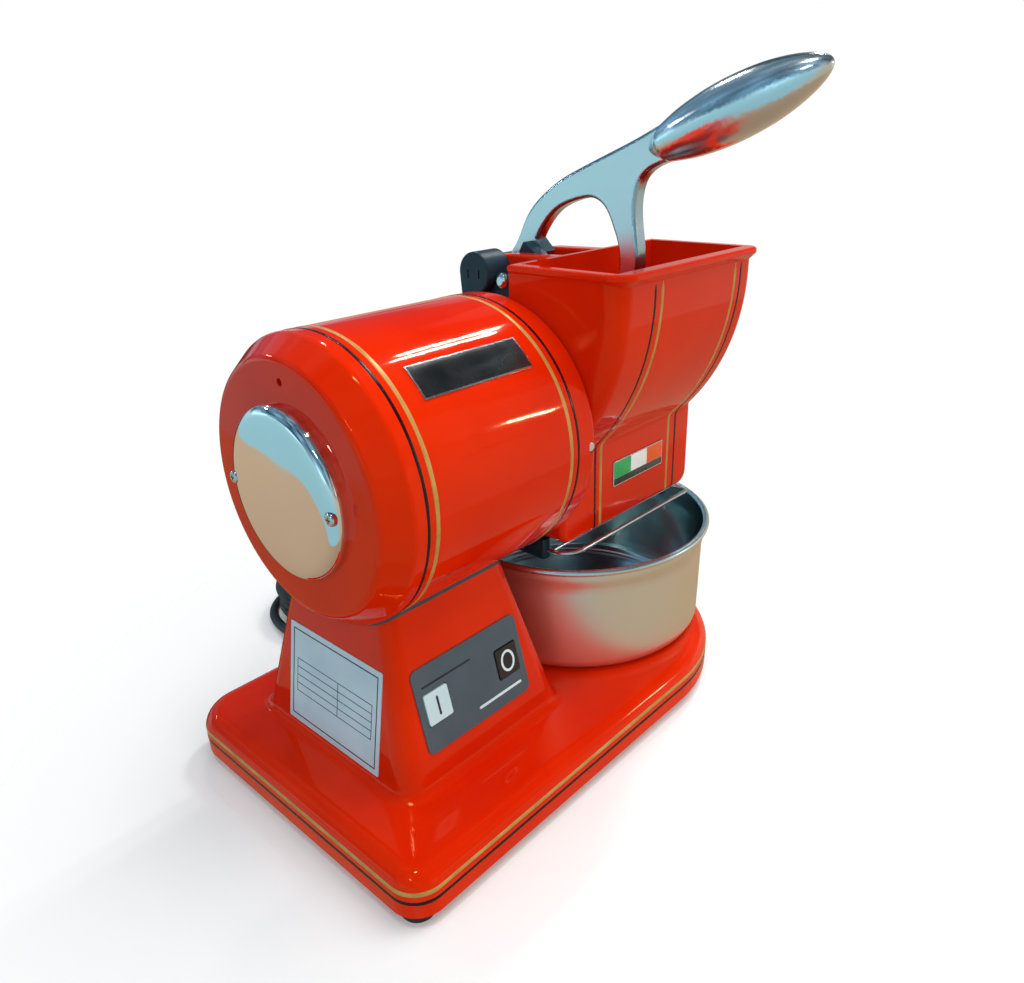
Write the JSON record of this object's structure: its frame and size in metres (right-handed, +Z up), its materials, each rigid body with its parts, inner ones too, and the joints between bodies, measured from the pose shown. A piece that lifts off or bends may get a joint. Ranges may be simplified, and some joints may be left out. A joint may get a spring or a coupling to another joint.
{
  "type": "electric cheese grater",
  "caption": "Electric cheese grater: painted motor on a pedestal base, hopper with a hinged presser lever over a turning grating drum, push-button switch, rod guard and a steel bowl.",
  "frame": {"origin": "middle of the machine without its mains lead, on the table", "axes": "+X along the motor axis from the closed motor end to the hopper, -Y towards the user, +Z up"},
  "size_m": [0.3334, 0.3807, 0.3718],
  "materials": {
    "red_paint": "gloss red enamel on an aluminium casting",
    "cast_aluminium": "satin casting with polished edges and grip",
    "polished_steel": "polished",
    "stainless": "fine brushed, polished rim",
    "steel": "bright zinc or turned steel",
    "black_plastic": "matte",
    "panel_grey": "satin slate grey",
    "white_plastic": "gloss",
    "dark_plastic": "gloss",
    "label_white": "printed film",
    "black_enamel": "black enamel on thin aluminium",
    "flag_enamel": "enamel bands on thin aluminium",
    "rubber": "matte",
    "gasket_rubber": "matte",
    "iron": "laminated",
    "copper": "enamelled wire",
    "brass": "bright",
    "zinc_sheet": "galvanised"
  },
  "bodies": {
    "machine": {"base_casting": "red_paint", "bottom_plate": "zinc_sheet", "capacitor": "zinc_sheet", "capacitor_clip": "zinc_sheet", "casing_bolts": "steel", "cord_coil": "rubber", "cord_gland": "rubber", "cord_lead": "rubber", "cord_tail": "rubber", "cord_tie": "black_plastic", "end_cover_disc": "polished_steel", "end_cover_screws": "steel", "flange_screws": "steel", "foot_screws": "steel", "front_bearing": "steel", "front_shield": "cast_aluminium", "guard_rails": "black_plastic", "guard_rods": "steel", "guard_screws": "steel", "hinge_pin": "steel", "hinge_switch_housing": "black_plastic", "hinge_switch_screw": "polished_steel", "hopper_body": "red_paint", "motor_casing": "red_paint", "name_plate": "black_enamel", "plug_body": "rubber", "plug_pins": "brass", "rating_label": "label_white", "rear_bearing": "steel", "rubber_feet": "rubber", "saddle_gasket": "gasket_rubber", "shaft_seal": "rubber", "stator_core": "iron", "stator_windings": "copper", "switch_body": "black_plastic", "switch_panel": "panel_grey", "terminal_block": "white_plastic", "tricolour_plate": "flag_enamel"},
    "lever": {"lever_arm": "cast_aluminium", "presser_plate": "cast_aluminium", "presser_screws": "steel", "lever_cam_block": "black_plastic", "cam_block_screw": "steel"},
    "drum": {"grating_drum": "stainless", "drum_key": "steel", "drum_nut": "steel", "motor_shaft": "steel", "rotor_core": "iron"},
    "start": {"start_button": "white_plastic"},
    "stop": {"stop_button": "dark_plastic"},
    "bowl": {"bowl": "stainless"}
  },
  "joints": [
    {"name": "lever_hinge", "type": "hinge", "parent": "machine", "child": "lever", "pos_m": [0.06832, 0.06864, 0.265], "axis": [1, 0, 0], "range_deg": [-100, 0]},
    {"name": "drum_spin", "type": "hinge", "parent": "machine", "child": "drum", "pos_m": [0.06682, 0.02464, 0.1888], "axis": [1, 0, 0], "continuous": true},
    {"name": "start_press", "type": "slide", "parent": "machine", "child": "start", "axis": [0, 0.9669, -0.2551], "range_m": [0, 0.0015], "stiffness_N_per_m": 600},
    {"name": "stop_press", "type": "slide", "parent": "machine", "child": "stop", "axis": [0, 0.9669, -0.2551], "range_m": [0, 0.0015], "stiffness_N_per_m": 600},
    {"name": "bowl_slide", "type": "slide", "parent": "machine", "child": "bowl", "axis": [0, -1, 0], "range_m": [0, 0.2]}
  ]
}
